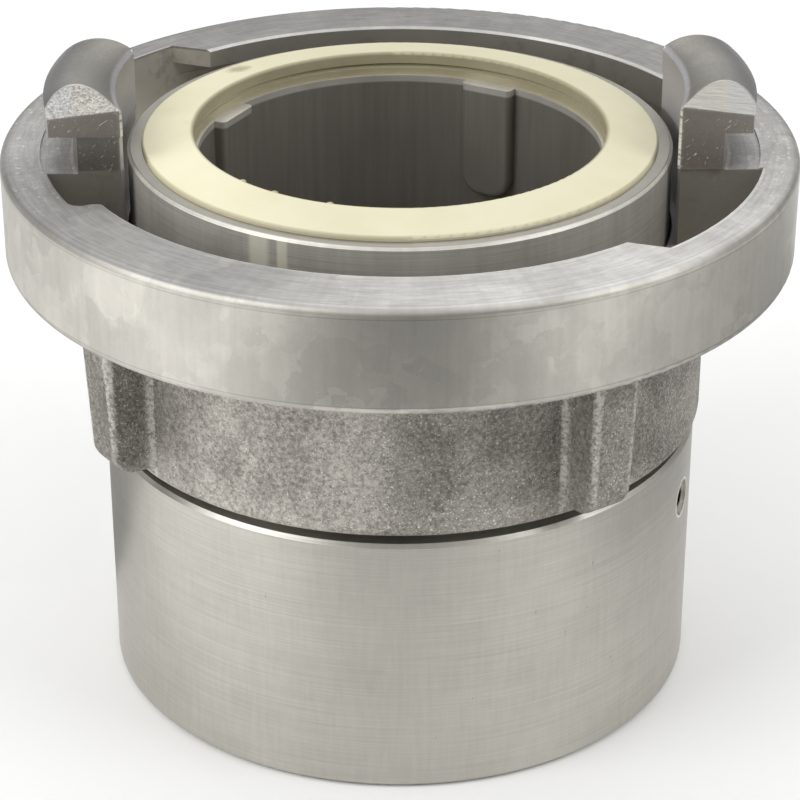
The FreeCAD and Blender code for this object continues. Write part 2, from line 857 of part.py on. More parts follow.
def roundNotch(body, base):
    # The two upright edges of each stop notch's far end are rounded.
    corner = size("notchEnd").value
    notchRadius = (flangeRadius + size("notchReach")).value
    tolerance = size("cutOverrun").value / 10

    def atNotchEnd(edge):
        ends = [vertex.Point for vertex in edge.Vertexes]
        if abs(ends[0].z - ends[-1].z) < size("tongueDrop").value:
            return False
        for point in ends:
            azimuth = math.degrees(math.atan2(point.y, point.x)) % (360 / lugCount)
            radius = math.hypot(point.x, point.y)
            off = min(abs(radius - notchRadius), abs(radius - flangeRadius.value))
            if abs(azimuth - corner) > tolerance or off > tolerance:
                return False
        return True

    fillet(body, "NotchCorners", base, size("notchRound"), atNotchEnd)


def main():
    socket = makeThreadedSocket()
    carrier = makeSealCarrier()
    seal = makeFaceSeal()
    slideInner = journalRadius + size("threadClearance")
    slideOuter = slideInner + size("slideRingWidth")
    upper = makeWasher(
        "upper_slide_ring", slideInner, slideOuter, shoulder - size("slideRingThickness"),
        size("slideRingThickness"),
    )
    lower = makeWasher("lower_slide_ring", slideInner, slideOuter, neckTop, size("slideRingThickness"))
    gasket = makeWasher(
        "thread_gasket", webBoreRadius + size("gasketInset"),
        undercutRadius - size("threadClearance"), size("threadDepth") - size("gasketThickness"),
        size("gasketThickness"),
    )
    parts = [socket, carrier, seal, upper, lower, gasket, makeORing(), makeGrubScrew(), makeLugRing()]
    doc.recompute()
    for item in doc.Objects:
        for state in item.State:
            if state in ("Invalid", "Error"):
                raise RuntimeError(f"{item.Name} is {state}")
    os.makedirs("parts", exist_ok=True)
    for part in parts:
        shape = part.Shape
        if shape.isNull() or not shape.isValid():
            raise RuntimeError(f"{part.Label} has no valid shape")
        shape.exportStep(os.path.join("parts", part.Label + ".step"))
        box = shape.BoundBox
        print(part.Label, len(shape.Solids), round(shape.Volume, 1), round(box.ZMin, 2), round(box.ZMax, 2))


main()
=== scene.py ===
import math

import bpy
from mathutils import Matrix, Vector


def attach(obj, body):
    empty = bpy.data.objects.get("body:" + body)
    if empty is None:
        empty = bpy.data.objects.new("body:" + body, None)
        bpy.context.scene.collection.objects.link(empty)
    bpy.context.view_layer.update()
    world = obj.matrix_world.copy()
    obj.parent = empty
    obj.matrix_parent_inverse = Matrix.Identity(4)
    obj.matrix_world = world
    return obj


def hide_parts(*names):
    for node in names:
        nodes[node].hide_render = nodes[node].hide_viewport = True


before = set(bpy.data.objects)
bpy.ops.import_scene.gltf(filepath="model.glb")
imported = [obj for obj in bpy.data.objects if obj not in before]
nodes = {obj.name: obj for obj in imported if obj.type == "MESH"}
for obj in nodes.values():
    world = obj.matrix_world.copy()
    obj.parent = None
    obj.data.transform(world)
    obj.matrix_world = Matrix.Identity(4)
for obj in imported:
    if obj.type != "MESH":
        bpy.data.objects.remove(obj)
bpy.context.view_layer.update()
print("frame loaded:", ", ".join(sorted(nodes)))

mm = 0.001
inch = 25.4 * mm
mergeReach = 0.002 * mm
sharpAngle = math.radians(35)


# nodes written as Python expressions

class Wire:
    # One socket of a node tree. Its operators add Math nodes.
    def __init__(self, graph, socket):
        self.graph = graph
        self.socket = socket

    def __add__(self, other):
        return self.graph.math("ADD", self, other)

    __radd__ = __add__

    def __sub__(self, other):
        return self.graph.math("SUBTRACT", self, other)

    def __rsub__(self, other):
        return self.graph.math("SUBTRACT", other, self)

    def __mul__(self, other):
        return self.graph.math("MULTIPLY", self, other)

    __rmul__ = __mul__

    def __truediv__(self, other):
        return self.graph.math("DIVIDE", self, other)

    def __pow__(self, other):
        return self.graph.math("POWER", self, other)

    def __mod__(self, other):
        return self.graph.math("FLOORED_MODULO", self, other)

    def __abs__(self):
        return self.graph.math("ABSOLUTE", self)


# a Mix node's sockets share their names, so they go by number: A, B and the result
mixSockets = {"RGBA": (6, 7, 2), "VECTOR": (4, 5, 1)}
scratchLook = {"factors": (0.07, 3.6, 3.6), "detail": 1.0, "edge": (0.0, 0.04)}


class Graph:
    def __init__(self, tree):
        self.tree = tree

    def add(self, kind, settings=None, inputs=None, output=0):
        # Any node: its settings are set first, then its inputs. Sockets go by name or number.
        node = self.tree.nodes.new(kind)
        for name, value in (settings or {}).items():
            setattr(node, name, value)
        for key, value in (inputs or {}).items():
            if isinstance(value, Wire):
                self.tree.links.new(value.socket, node.inputs[key])
            else:
                node.inputs[key].default_value = value
        return Wire(self, node.outputs[output]) if node.outputs else node

    def join(self, *pieces):
        node = self.tree.nodes.new("GeometryNodeJoinGeometry")
        for piece in pieces:
            self.tree.links.new(piece.socket, node.inputs[0])
        return Wire(self, node.outputs[0])

    def math(self, operation, *values):
        return self.add("ShaderNodeMath", {"operation": operation}, dict(enumerate(values)))

    def vector(self, operation, *values):
        return self.add("ShaderNodeVectorMath", {"operation": operation}, dict(enumerate(values)))

    def split(self, vector):
        node = self.tree.nodes.new("ShaderNodeSeparateXYZ")
        self.tree.links.new(vector.socket, node.inputs[0])
        return [Wire(self, socket) for socket in node.outputs]

    def unite(self, x, y, z):
        return self.add("ShaderNodeCombineXYZ", None, {0: x, 1: y, 2: z})

    def step(self, value, edge, base=0.0):
        # 0 where the edge starts and 1 where it ends, both counted from the base
        start, end = edge
        settings = {"interpolation_type": "SMOOTHSTEP", "clamp": True}
        inputs = {
            "Value": value, "From Min": base + start, "From Max": base + end,
            "To Min": 0.0, "To Max": 1.0,
        }
        return self.add("ShaderNodeMapRange", settings, inputs)

    def near(self, value, band, base=0.0):
        # 1 at the band's middle, counted from the base, and 0 from its reach on
        middle, reach = band
        return 1 - self.step(abs(value - (base + middle)), (reach / 2, reach))

    def spread(self, value, span):
        # Carries 0 to 1 over to the span's low and high end
        low, high = span
        return value * (high - low) + low

    def blend(self, waves, parts):
        total = waves[0] * parts[0]
        for wave, part in zip(waves[1:], parts[1:]):
            total = total + wave * part
        return total

    def mix(self, factor, first, second):
        settings = {"data_type": "RGBA", "clamp_factor": True}
        a, b, result = mixSockets["RGBA"]
        inputs = {0: factor, a: asColour(first), b: asColour(second)}
        return self.add("ShaderNodeMix", settings, inputs, result)

    def noise(self, vector, scale, detail, roughness=0.5, output=0):
        inputs = {"Vector": vector, "Scale": scale, "Detail": detail, "Roughness": roughness}
        return self.add("ShaderNodeTexNoise", None, inputs, output)

    def drawn(self, place, factors, detail, roughness=0.5):
        # Noise drawn out along the directions that have the small factors
        return self.noise(self.vector("MULTIPLY", place, factors), 1.0, detail, roughness)

    def wrapped(self, azimuth, z, turn, rise, detail, roughness=0.5, shift=0.0):
        # Noise wrapped round the axis
        return self.noise(self.unite(azimuth * turn, shift, z * rise), 1.0, detail, roughness)

    def cells(self, vector, scale):
        # A random colour for each cell
        inputs = {"Vector": vector, "Scale": scale}
        return self.add("ShaderNodeTexVoronoi", None, inputs, "Color")

    def scratches(self, place, turn, share):
        # Thin straight lines along one direction of space, the more the lower the share
        inputs = {"Vector": place, "Rotation": turn}
        turned = self.add("ShaderNodeVectorRotate", {"rotation_type": "EULER_XYZ"}, inputs)
        lines = self.drawn(turned, scratchLook["factors"], scratchLook["detail"])
        return self.step(lines, scratchLook["edge"], share)

    def shade(self, colour, factor):
        inputs = {0: colour, "Scale": factor}
        return self.add("ShaderNodeVectorMath", {"operation": "SCALE"}, inputs)

    def bump(self, height, distance, strength, normal=None):
        # The height is in parts of the distance, which is in millimetres
        inputs = {"Height": height, "Distance": distance * mm, "Strength": strength}
        if normal is not None:
            inputs["Normal"] = normal
        return self.add("ShaderNodeBump", None, inputs)


def asColour(value):
    if isinstance(value, Wire) or len(value) == 4:
        return value
    return (*value, 1.0)


def newPaint(name):
    material = bpy.data.materials.new(name)
    material.use_nodes = True
    material.node_tree.nodes.clear()
    return material, Graph(material.node_tree)


def finishPaint(paint, inputs):
    shader = paint.add("ShaderNodeBsdfPrincipled", None, inputs)
    paint.add("ShaderNodeOutputMaterial", None, {"Surface": shader})


def objectPlace(paint):
    # Object coordinates in millimetres, so that every pattern's size is in millimetres
    place = paint.add("ShaderNodeTexCoord", output="Object")
    return paint.vector("MULTIPLY", place, (1 / mm, 1 / mm, 1 / mm))


def distance(first, second):
    return (first * first + second * second) ** 0.5


def azimuthOf(paint, x, y):
    return paint.math("ARCTAN2", y, x)


def take(look, *groups):
    return [look[group] for group in groups]


# aluminium reads slightly warm in the photo: green and blue as parts of red
metalTone = {"green": 0.963, "blue": 0.876}


def metal(paint, level):
    return paint.unite(level, level * metalTone["green"], level * metalTone["blue"])


# Groups of a look: size in mm and radians, edge where a mask starts and ends, band a middle
# and a reach, wave the settings of a noise, tone a colour or two levels, and part how much
# a mark counts. Where an edge or a band is counted from a size, the comment names the size.

# lug ring: one casting, partly machined

ringLook = {
    "size": {
        "bandBottom": 73.9, "bandRadius": 63.0, "roundRadius": 61.6, "roundRise": 89.2,
        "flangeTop": 90.6, "flangeInner": 51.5, "grooveRadius": 57.4,
        "slotFrom": 2.304, "slotTo": 2.90,
        "ribAzimuth": 0.5882, "ribHalf": 4.0, "ribReach": 56.4,
        "lugTop": 102.7, "lugEnd": 13.35, "stepRise": 96.0,
        "crestEnd": 7.5, "crestMiddle": 50.05, "facetSlope": 0.45, "facetLean": 0.123,
        "leastOut": 0.001, "raggedShift": 7.0, "brushTurn": 9.0, "brushOut": 1.6, "chipRise": 1.5,
    },
    "edge": {
        # of bandBottom, bandRadius, flangeTop, flangeInner and flangeTop
        "above": (0.2, 0.9), "outside": (-1.8, -1.5), "top": (-0.45, -0.3),
        "topBore": (-0.08, -0.02), "lug": (0.05, 0.3),
        # of roundRadius, bandBottom and flangeTop
        "roundSide": (0.05, 0.15), "roundFoot": (1.7, 2.3), "bead": (-1.25, -1.0),
        # of slotFrom and slotTo, ribReach and crestEnd
        "slot": (0.0, 0.01), "ribFar": (-1.0, -0.4), "front": (-1.5, -1.0),
        # heights and radii
        "endFoot": (77.7, 78.0), "endOuter": (56.0, 56.2), "fillet": (50.4, 51.0),
        "innerWall": (44.9, 45.5), "wornRadius": (44.95, 45.03), "stepOuter": (51.0, 51.4),
        # along x and y
        "right": (-1.0, 1.0), "back": (-10.0, 45.0), "beside": (20.0, 34.0),
        "tongue": (13.2, 13.4), "worn": (12.90, 12.98), "stepEnd": (13.0, 13.1),
        # of the noises
        "frost": (0.45, 0.60), "crystal": (0.05, 0.95), "brush": (0.32, 0.68),
        "speck": (0.60, 0.66), "spark": (0.57, 0.68), "cast": (0.38, 0.72),
        "stain": (0.35, 0.65), "rubAndHighlight": (0.35, 0.6), "lugTone": (0.45, 0.85),
        "dents": (0.28, 0.72), "chips": (0.38, 0.52), "smudge": (0.55, 0.75),
    },
    "band": {
        # of flangeTop, bandBottom, flangeInner, grooveRadius and flangeTop
        "turnedTop": (-1.5, 0.12), "turnedFoot": (1.4, 0.12), "corner": (0.25, 0.35),
        "slotCorner": (0.2, 0.35), "tongue": (-0.25, 0.12),
        # of ribHalf twice, lugEnd, stepRise, and the facet's plane twice
        "ribCorner": (-0.5, 0.8), "ribFillet": (0.35, 0.5), "end": (0.0, 0.42),
        "step": (0.0, 0.16), "facet": (0.0, 0.22), "arc": (-0.2, 0.16),
        # azimuths of painted light and painted shade
        "flangeGlow": (-1.15, 1.1), "flangeShade": (-2.25, 0.95),
        "castGlow": (-1.98, 0.44), "insideGlow": (2.6, 0.45),
    },
    "wave": {
        # scale, detail and roughness
        "ragged": (0.30, 3.0), "cloud": (0.055, 3.0), "fine": (1.3, 4.0, 0.7),
        "frost": (0.09, 2.0), "brush": (1.0, 5.0, 0.72), "speck": (1.1, 3.0, 0.7),
        "grain": (1.5, 5.0, 0.72), "stain": (0.07, 4.0, 0.6), "spark": (2.9, 2.0, 0.6),
        "hammer": (2.3, 3.0, 0.7), "chips": (1.0, 2.0), "smudge": (0.16, 4.0, 0.65),
        # scale alone
        "largeCells": 0.105, "smallCells": 0.31,
        # factors and detail
        "lines": ((0.05, 0.05, 9.0), 2.0), "combed": ((0.3, 5.0, 1.0), 2.0),
        "brushed": ((0.12, 5.0, 1.0), 2.0),
        # turn, rise, detail and roughness
        "streak": (44.0, 0.07, 3.0, 0.6),
        # turn and share
        "scratch": ((0.5, 0.6, 0.8), 0.70), "crossed": ((-0.7, 0.4, -0.5), 0.71),
    },
    "tone": {
        "etched": (0.42, 0.62), "streak": (0.88, 1.12), "patch": (0.86, 1.12), "flange": 1.02,
        "inside": (0.336, 0.462), "lug": (0.29, 0.3915), "facet": (0.22, 0.60),
        "combed": (0.35, 0.65), "brushed": (0.0, 0.36), "sparks": (0.45, 0.95),
        "rubAndHighlight": (0.10, 0.50),
        "cast": (0.50, 0.474, 0.434), "castDark": (0.165, 0.153, 0.136),
        "spark": (0.86, 0.84, 0.78), "endFace": (0.250, 0.228, 0.200),
        "soil": (0.20, 0.17, 0.13),
        "bandRough": (0.44, 0.36), "castRough": 0.60,
    },
    "part": {
        # large cells, small cells, cloud and fine grain, and what is taken off
        "crystal": (0.24, 0.24, 0.62, 0.22), "crystalBase": 0.10,
        "turned": 0.22, "bead": 0.14, "back": 0.26, "flangeGlow": 0.22, "flangeShade": 0.25,
        "speck": 0.22, "corner": 0.16, "marks": 0.10,
        # grain and stain
        "cast": (0.7, 0.4), "castGlow": 0.36,
        "lugFine": 0.3, "arc": 0.50, "lugMarks": 0.12, "insideGlow": 0.85, "innerWall": 0.25,
        "coolWall": 0.10, "coolTop": 0.055, "redTop": 0.02,
        "end": 0.85, "endMarks": 1.6, "endFine": 0.4, "step": 0.8, "worn": 0.85, "smudge": 0.5,
        "sparkRough": 0.26, "beadRough": 0.08, "endRough": 0.08,
        "insideMetal": 0.15, "endMetal": 0.2, "tongueMetal": 0.5, "wallMetal": 0.45,
        "sparkHeight": 0.8, "lineHeight": 0.03, "dentHeight": 0.5, "fineHeight": 0.05,
        "markHeight": 0.08, "bump": (0.26, 0.9),
    },
}


def turnedNormal(paint, x, y, z, radius):
    # On the band the normal is worked out from its section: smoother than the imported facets
    size, edge = take(ringLook, "size", "edge")
    out = paint.math("MAXIMUM", radius - size["roundRadius"], size["leastOut"])
    up = paint.math("MAXIMUM", z - size["roundRise"], 0.0)
    section = paint.vector("NORMALIZE", paint.unite(out * x / radius, out * y / radius, up))
    kind = {"vector_type": "NORMAL", "convert_from": "OBJECT", "convert_to": "WORLD"}
    turned = paint.add("ShaderNodeVectorTransform", kind, {"Vector": section})
    plain = paint.add("ShaderNodeNewGeometry", output="Normal")
    band = paint.step(radius, edge["roundSide"], size["roundRadius"])
    band = band * paint.step(z, edge["roundFoot"], size["bandBottom"])
    a, b, result = mixSockets["VECTOR"]
    inputs = {0: band, a: plain, b: turned}
    return paint.add("ShaderNodeMix", {"data_type": "VECTOR"}, inputs, result)


def paintRing():
    size, edge, band, wave, tone, part = take(
        ringLook, "size", "edge", "band", "wave", "tone", "part",
    )
    material, paint = newPaint("castRing")
    place = objectPlace(paint)
    x, y, z = paint.split(place)
    radius = distance(x, y)
    azimuth = azimuthOf(paint, x, y)
    above = paint.step(z, edge["above"], size["bandBottom"])
    outside = paint.step(radius, edge["outside"], size["bandRadius"])
    top = paint.step(z, edge["top"], size["flangeTop"])
    top = top * paint.step(radius, edge["topBore"], size["flangeInner"])
    lug = paint.step(z, edge["lug"], size["flangeTop"])
    inside = above * (1 - outside) * (1 - top) * (1 - lug)

    # Etched crystals: polygons with slightly ragged borders in close tones, large and small
    ragged = paint.noise(place, *wave["ragged"], output="Color")
    shift = size["raggedShift"]
    shifted = paint.vector("MULTIPLY_ADD", ragged, (shift,) * 3, (-shift / 2,) * 3)
    shifted = paint.vector("ADD", place, shifted)
    large = paint.split(paint.cells(shifted, wave["largeCells"]))[0]
    small = paint.split(paint.cells(shifted, wave["smallCells"]))[1]
    cloud = paint.noise(place, *wave["cloud"])
    fine = paint.noise(place, *wave["fine"])
    frost = paint.step(paint.noise(place, *wave["frost"]), edge["frost"])
    crystal = paint.blend((large, small * frost, cloud, fine), part["crystal"])
    crystal = crystal - part["crystalBase"]
    streak = paint.wrapped(azimuth, z, *wave["streak"])
    lines = paint.drawn(place, *wave["lines"])
    level = paint.spread(paint.step(crystal, edge["crystal"]), tone["etched"])
    level = level * paint.spread(streak, tone["streak"])

    # Turned bead at the band's upper corner, and fine turned lines under it and at the foot
    bead = outside * paint.step(z, edge["bead"], size["flangeTop"])
    turned = paint.near(z, band["turnedTop"], size["flangeTop"])
    turned = turned + paint.near(z, band["turnedFoot"], size["bandBottom"])
    level = level * (1 - turned * outside * part["turned"])
    level = level * (1 - bead * part["bead"])

    # Flange: brushed in patches; painted shade darkens it at the back and at the left, and
    # painted light lightens it towards the front
    brush = paint.unite(azimuth * size["brushTurn"], radius * size["brushOut"], z)
    brush = paint.noise(brush, *wave["brush"])
    patch = paint.spread(paint.step(brush, edge["brush"]), tone["patch"])
    level = level * (1 - top * (1 - outside) * (1 - tone["flange"] * patch))
    level = level * (1 - paint.step(y, edge["back"]) * top * part["back"])
    glow = paint.near(azimuth, band["flangeGlow"]) * top * part["flangeGlow"]
    shadow = paint.near(azimuth, band["flangeShade"]) * top * part["flangeShade"]
    level = level * (1 + glow - shadow)

    # White specks and scratches beside the lugs, and bright corners at the bore and the slots
    beside = 1 - paint.step(abs(y), edge["beside"])
    speck = paint.step(paint.noise(place, *wave["speck"]), edge["speck"]) * beside * top
    half = azimuth % math.pi
    slot = paint.step(half, edge["slot"], size["slotFrom"])
    slot = slot * (1 - paint.step(half, edge["slot"], size["slotTo"]))
    corner = paint.near(radius, band["corner"], size["flangeInner"])
    corner = corner + paint.near(radius, band["slotCorner"], size["grooveRadius"]) * slot
    corner = corner * top
    marks = paint.scratches(place, *wave["scratch"]) + paint.scratches(place, *wave["crossed"])
    flecks = speck * part["speck"] + corner * part["corner"]
    flecks = flecks + marks * top * beside * part["marks"]
    level = level + flecks * (1 - lug)

    # Skirt and ribs as cast: a dark skin with fine bright grains
    grain = paint.noise(place, *wave["grain"])
    stain = paint.noise(place, *wave["stain"])
    spark = paint.step(paint.noise(place, *wave["spark"]), edge["spark"])
    cast = paint.step(paint.blend((grain, stain), part["cast"]), edge["cast"])
    cast = paint.mix(cast, tone["castDark"], tone["cast"])
    # Painted light lightens the skirt towards the left front
    cast = paint.shade(cast, 1 + paint.near(azimuth, band["castGlow"]) * part["castGlow"])
    sparks = spark * paint.spread(paint.step(stain, edge["stain"]), tone["sparks"])
    cast = paint.mix(sparks, cast, tone["spark"])

    # The ribs' corners are rubbed brighter, and a painted highlight runs along the fillets at
    # their roots
    offset = (azimuth - size["ribAzimuth"] + math.pi / 4) % (math.pi / 2) - math.pi / 4
    across = abs(radius * paint.math("SINE", offset))
    far = paint.step(radius, edge["ribFar"], size["ribReach"])
    rubAndHighlight = paint.near(across, band["ribCorner"], size["ribHalf"]) * far
    fillet = paint.near(across, band["ribFillet"], size["ribHalf"])
    rubAndHighlight = rubAndHighlight + fillet * (1 - paint.step(radius, edge["fillet"]))
    rubAndHighlight = rubAndHighlight * paint.spread(paint.step(grain, edge["rubAndHighlight"]), tone["rubAndHighlight"])
    cast = paint.mix(rubAndHighlight, cast, tone["spark"])

    # Lugs: smooth crest, bright facets at the near ends with a painted highlight along their
    # arcs, brown end faces
    depth = z - size["lugTop"] + (abs(y) - size["crestEnd"]) * size["facetSlope"]
    depth = depth + (abs(x) - size["crestMiddle"]) * size["facetLean"]
    front = paint.step(0 - y, edge["front"], size["crestEnd"])
    facet = paint.near(depth, band["facet"]) * front * lug
    arc = paint.near(depth, band["arc"]) * front * lug
    end = paint.near(abs(y), band["end"], size["lugEnd"]) * paint.step(z, edge["endFoot"])
    end = end * (1 - paint.step(radius, edge["endOuter"])) * (1 - facet)
    hammer = paint.noise(place, *wave["hammer"])
    combed = paint.spread(paint.drawn(place, *wave["combed"]), tone["combed"])
    right = paint.step(x, edge["right"])
    dents = hammer * (1 - right) + combed * right
    lugLevel = paint.step(cloud + fine * part["lugFine"], edge["lugTone"])
    lugLevel = paint.spread(lugLevel, tone["lug"]) * (1 - facet)
    lugLevel = lugLevel + facet * paint.spread(paint.step(dents, edge["dents"]), tone["facet"])
    lugLevel = lugLevel + arc * part["arc"]
    lugLevel = lugLevel + marks * part["lugMarks"]

    # Milled tongue, lugs, and the duller walls inside, darkened with painted shade and lightened
    # at one side with painted light
    tongue = paint.near(z, band["tongue"], size["flangeTop"])
    tongue = tongue * (1 - paint.step(abs(y), edge["tongue"])) * top
    brushed = paint.drawn(place, *wave["brushed"])
    level = level * (1 - tongue * paint.spread(brushed, tone["brushed"]))
    level = level * (1 - lug) + lugLevel * lug
    within = paint.spread(cloud, tone["inside"])
    within = within * (1 + paint.near(azimuth, band["insideGlow"]) * part["insideGlow"])
    level = level * (1 - inside) + within * inside
    innerWall = above * (1 - paint.step(radius, edge["innerWall"]))
    # Painted light lightens the lugs' inner walls
    level = level * (1 + innerWall * lug * part["innerWall"])

    # Painted reflection: the flange and the lugs' inner walls are tinted cooler than the rest,
    # for the cooler light they reflect, and the flange's top a little less red
    cool = innerWall * part["coolWall"] + top * part["coolTop"]
    white = paint.unite(
        level * (1 - top * part["redTop"]), level * metalTone["green"],
        level * (cool + metalTone["blue"]),
    )
    skin = paint.mix(above, cast, white)
    brown = 1 + marks * part["endMarks"] + fine * part["endFine"]
    skin = paint.mix(end * part["end"], skin, paint.shade(tone["endFace"], brown))

    # Bright worn lines along the lug's inner corner and over the step in its end
    chips = paint.noise(paint.unite(0.0, 0.0, z * size["chipRise"]), *wave["chips"])
    worn = paint.step(abs(y), edge["worn"]) * (1 - paint.step(radius, edge["wornRadius"]))
    worn = worn * paint.step(chips, edge["chips"]) * above
    step = paint.near(z, band["step"], size["stepRise"]) * (1 - right)
    step = step * paint.step(0 - y, edge["stepEnd"])
    worn = worn + step * end * (1 - paint.step(radius, edge["stepOuter"])) * part["step"]
    skin = paint.mix(worn * part["worn"], skin, tone["spark"])
    smudge = paint.step(paint.noise(place, *wave["smudge"]), edge["smudge"]) * inside
    skin = paint.mix(smudge * part["smudge"], skin, tone["soil"])

    raw = 1 - above
    roughness = paint.spread(crystal, tone["bandRough"]) * above
    roughness = roughness + raw * (tone["castRough"] - spark * part["sparkRough"])
    roughness = roughness + bead * part["beadRough"] + end * part["endRough"]
    height = grain * raw + spark * raw * part["sparkHeight"]
    height = height + lines * above * part["lineHeight"] + dents * facet * part["dentHeight"]
    height = height + fine * top * part["fineHeight"] - marks * lug * part["markHeight"]
    metallic = 1 - inside * part["insideMetal"] - end * part["endMetal"]
    metallic = metallic - tongue * part["tongueMetal"] - innerWall * lug * part["wallMetal"]
    normal = paint.bump(height, *part["bump"], turnedNormal(paint, x, y, z, radius))
    finishPaint(paint, {
        "Base Color": skin, "Metallic": metallic, "Roughness": roughness, "Normal": normal,
    })
    return material


# pieces made by geometry nodes

def nodeTree(name, sizes):
    # An empty geometry tree with one input for each size, and the inputs as wires
    tree = bpy.data.node_groups.new(name, "GeometryNodeTree")
    face = tree.interface
    face.new_socket("Geometry", in_out="INPUT", socket_type="NodeSocketGeometry")
    face.new_socket("Geometry", in_out="OUTPUT", socket_type="NodeSocketGeometry")
    kinds = {int: "NodeSocketInt", float: "NodeSocketFloat"}
    for label, value in sizes.items():
        face.new_socket(label, in_out="INPUT", socket_type=kinds[type(value)])
    face.new_socket("Material", in_out="INPUT", socket_type="NodeSocketMaterial")
    graph = Graph(tree)
    entry = tree.nodes.new("NodeGroupInput")
    wires = {socket.name: Wire(graph, socket) for socket in entry.outputs if socket.name}
    return tree, graph, wires


def endTree(graph, geometry, material):
    real = graph.add("GeometryNodeRealizeInstances", None, {0: geometry})
    inputs = {"Geometry": real, "Material": material}
    painted = graph.add("GeometryNodeSetMaterial", None, inputs)
    graph.add("NodeGroupOutput", None, {0: painted})


def buildByNodes(name, tree, points, values):
    # Runs the tree on a small start mesh and returns its result as a plain mesh
    start = bpy.data.meshes.new(name + "Start")
    start.from_pydata(points, [], [])
    piece = bpy.data.objects.new(name, start)
    bpy.context.scene.collection.objects.link(piece)
    modifier = piece.modifiers.new("shape", "NODES")
    modifier.node_group = tree
    for item in tree.interface.items_tree:
        if item.in_out == "INPUT" and item.name in values:
            modifier[item.identifier] = values[item.name]
    bpy.context.view_layer.update()
    shaped = piece.evaluated_get(bpy.context.evaluated_depsgraph_get())
    mesh = bpy.data.meshes.new_from_object(shaped)
    piece.modifiers.remove(modifier)
    piece.data = mesh
    return piece


def unitGrid(graph, columns, rows):
    # A grid, and each point's place in it from 0 to 1 across and along
    inputs = {"Size X": 1.0, "Size Y": 1.0, "Vertices X": columns, "Vertices Y": rows}
    grid = graph.add("GeometryNodeMeshGrid", None, inputs)
    across, along, _ = graph.split(graph.add("GeometryNodeInputPosition"))
    return grid, across + 0.5, along + 0.5


def turnAround(graph, segments, rows):
    # A grid whose columns go round the axis, each point's angle and its row number
    grid, across, along = unitGrid(graph, segments + 1, rows)
    angle = across * (2 * math.pi)
    row = graph.math("ROUND", along * (rows - 1))
    return grid, angle, row


def around(graph, grid, angle, radius, height):
    x = radius * graph.math("COSINE", angle)
    y = radius * graph.math("SINE", angle)
    inputs = {"Geometry": grid, "Position": graph.unite(x, y, height)}
    return graph.add("GeometryNodeSetPosition", None, inputs)


def flipped(graph, mesh):
    return graph.add("GeometryNodeFlipFaces", None, {"Mesh": mesh})


def merged(graph, mesh):
    inputs = {"Geometry": mesh, "Distance": mergeReach}
    return graph.add("GeometryNodeMergeByDistance", None, inputs)


# ends of the lugs' crests: the far ends keep their full round

crestSize = {
    "Inner radius": 44.9, "Outer radius": 55.59, "From": 6.9, "To": 13.49,
    "Dome radius": 7.617, "Dome middle": 50.05, "Top": 102.685, "Depth": 3.3,
}
crestGrid = {"Columns": 24, "Rows": 12}


def makeCrestEnds(material):
    values = {**{label: value * mm for label, value in crestSize.items()}, **crestGrid}
    tree, graph, wires = nodeTree("CrestShape", values)
    grid, across, along = unitGrid(graph, wires["Columns"], wires["Rows"])
    inner, dome, depth = wires["Inner radius"], wires["Dome radius"], wires["Depth"]
    radius = inner + across * (wires["Outer radius"] - inner)
    y = wires["From"] + along * (wires["To"] - wires["From"])
    x = (radius * radius - y * y) ** 0.5
    off = radius - wires["Dome middle"]
    crest = wires["Top"] - dome + (dome * dome - off * off) ** 0.5
    inputs = {"Geometry": grid, "Position": graph.unite(x, y, crest - depth)}
    foot = graph.add("GeometryNodeSetPosition", None, inputs)
    up = graph.unite(0.0, 0.0, 1.0)
    inputs = {"Mesh": foot, "Offset": up, "Offset Scale": depth, "Individual": False}
    risen = graph.add("GeometryNodeExtrudeMesh", {"mode": "FACES"}, inputs)
    cap = merged(graph, graph.join(risen, flipped(graph, foot)))
    inputs = {"Geometry": cap, "Scale": (-1.0, 1.0, 1.0)}
    other = flipped(graph, graph.add("GeometryNodeTransform", None, inputs))
    both = {"Geometry": graph.join(cap, other)}
    smooth = graph.add("GeometryNodeSetShadeSmooth", None, both)
    endTree(graph, smooth, wires["Material"])
    piece = buildByNodes("lug_crest_ends", tree, [], {**values, "Material": material})
    piece.data.set_sharp_from_angle(angle=sharpAngle)
    return piece


# seal carrier: turned sleeve with a dull bore

carrierLook = {
    "size": {"boreRadius": 32.1, "rim": 91.0, "seat": 89.0, "lipHeight": 1.1},
    "edge": {
        # of boreRadius, rim, the lip's foot and seat
        "bore": (0.3, 0.45), "top": (-0.12, -0.04), "lipFoot": (-0.2, 0.2), "lipTop": (0.05, 0.1),
        "tone": (0.35, 0.75), "front": (-20.0, -10.0),
    },
    # the painted cream reflections, along x
    "band": {"wideReflection": (-21.4, 1.9), "thinReflection": (-17.9, 1.0)},
    "wave": {
        "lines": ((0.06, 0.06, 6.0), 3.0), "cloud": (0.12, 4.0, 0.6),
        "streak": (26.0, 0.04, 3.0, 0.6),
    },
    "tone": {
        "wall": (0.52, 0.72), "rimTop": (0.34, 0.46), "boreStreak": (0.75, 1.2),
        "lipCloud": (0.6, 1.1), "reflectionStreak": (0.35, 1.0), "rough": (0.34, 0.46),
        "bore": (0.32, 0.295, 0.262), "lipHighlight": (0.74, 0.72, 0.66), "cream": (0.84, 0.81, 0.67),
    },
    "part": {
        # lines, cloud and streak
        "tone": (0.5, 0.3, 0.3), "boreRough": 0.10, "bump": (0.015, 0.4),
        "wallMetal": 0.55, "boreMetal": 0.20, "topMetal": 0.45, "reflectionMetal": 0.35,
    },
}


